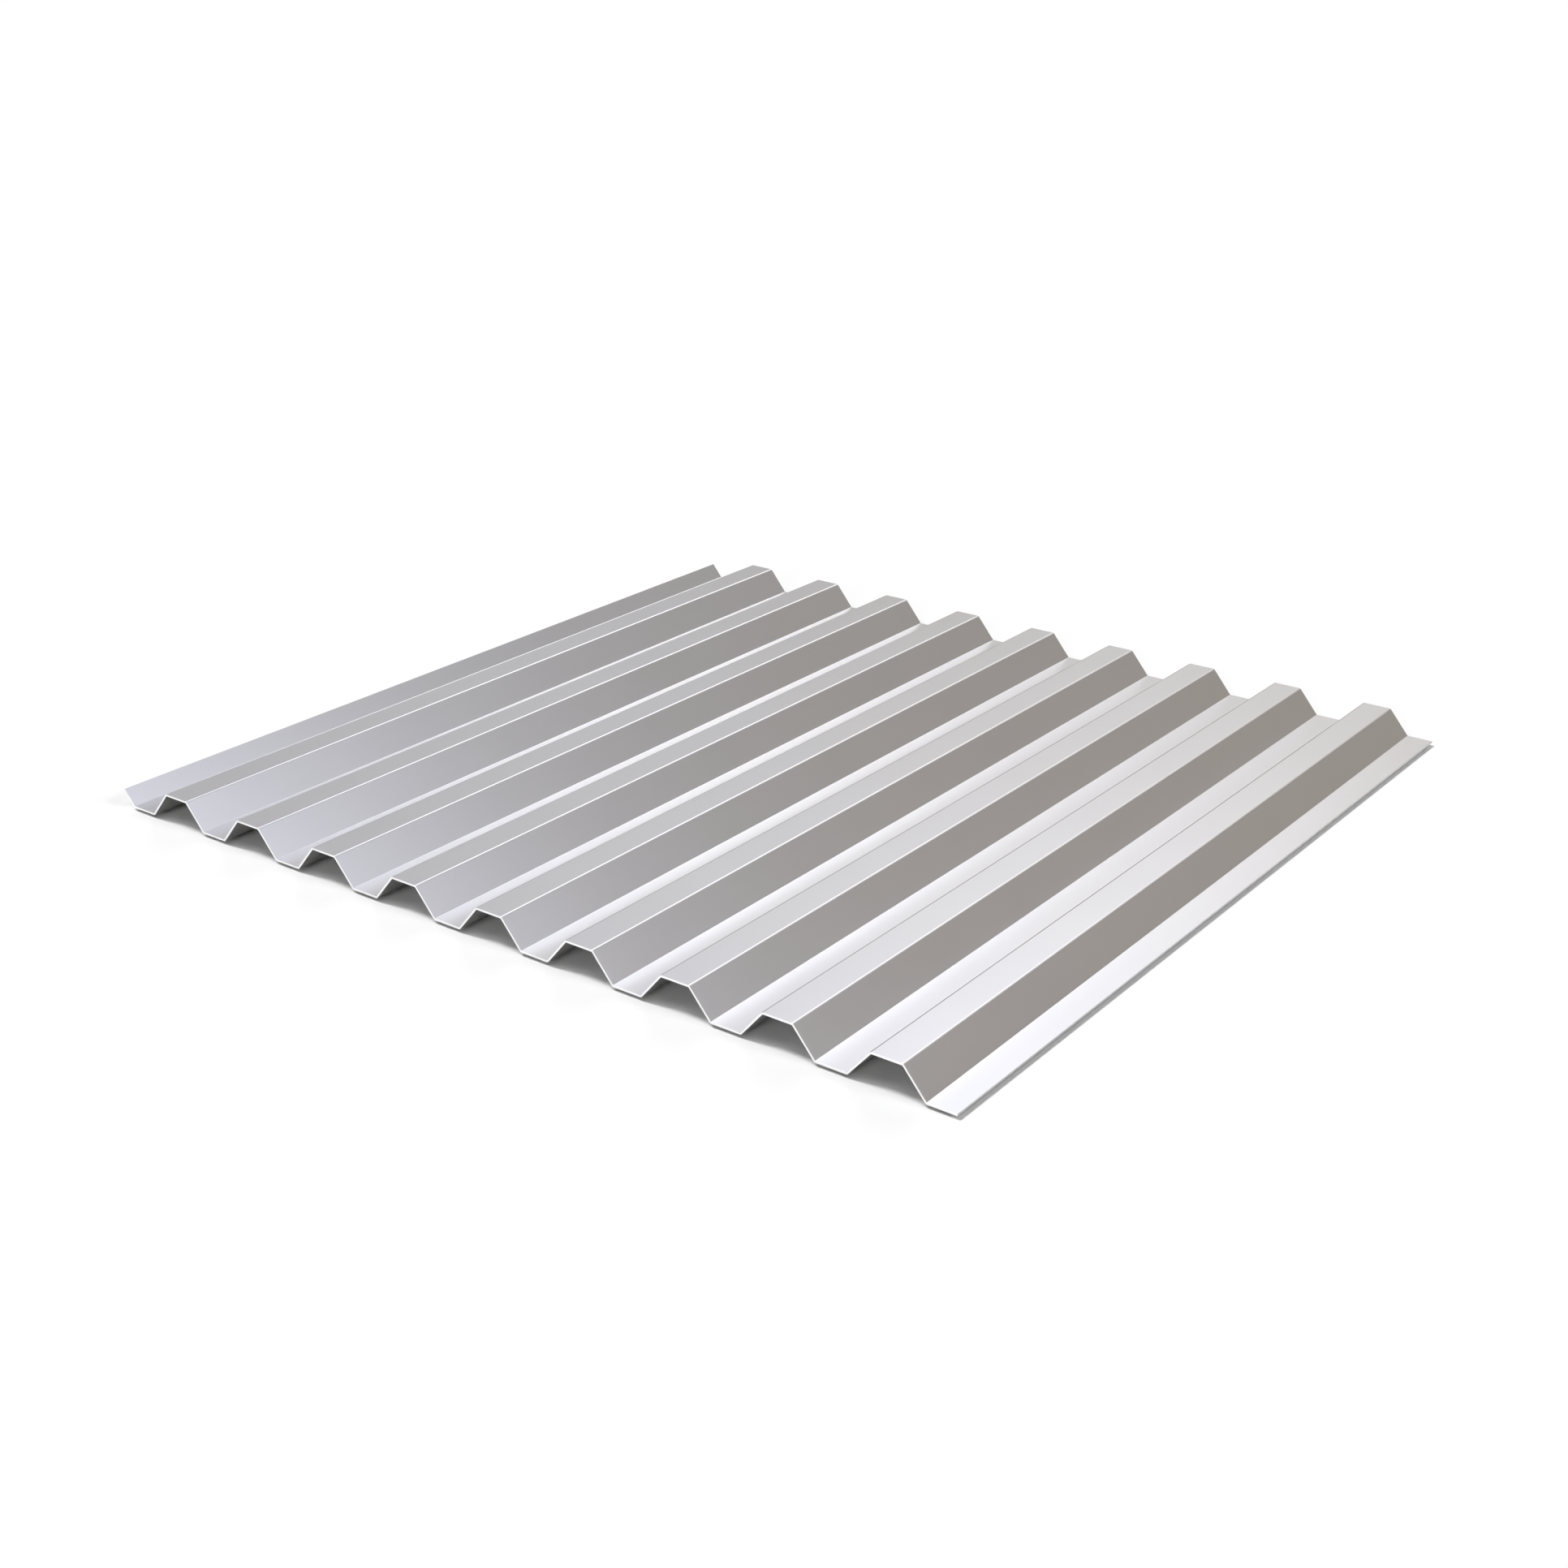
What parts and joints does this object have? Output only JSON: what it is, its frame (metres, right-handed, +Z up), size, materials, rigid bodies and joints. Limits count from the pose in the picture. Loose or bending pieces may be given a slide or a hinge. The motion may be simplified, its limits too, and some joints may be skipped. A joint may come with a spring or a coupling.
{
  "type": "steel floor decking sheet",
  "caption": "Flat-lying ribbed sheet of galvanised steel that spans between floor beams and carries the concrete poured on it; a lip and a flat flange lap the sheets beside it.",
  "frame": {"origin": "bottom centre of the sheet's box, on the surface it lies on", "axes": "+X across the ribs, towards the flat lapping flange; +Y along the ribs; +Z up"},
  "size_m": [0.9554, 0.918, 0.0272],
  "materials": {
    "galvanised_steel": "smooth hot-dip galvanised steel, satin, with bright sheared ends"
  },
  "bodies": {
    "root": {"deck_sheet": "galvanised_steel"}
  },
  "joints": []
}
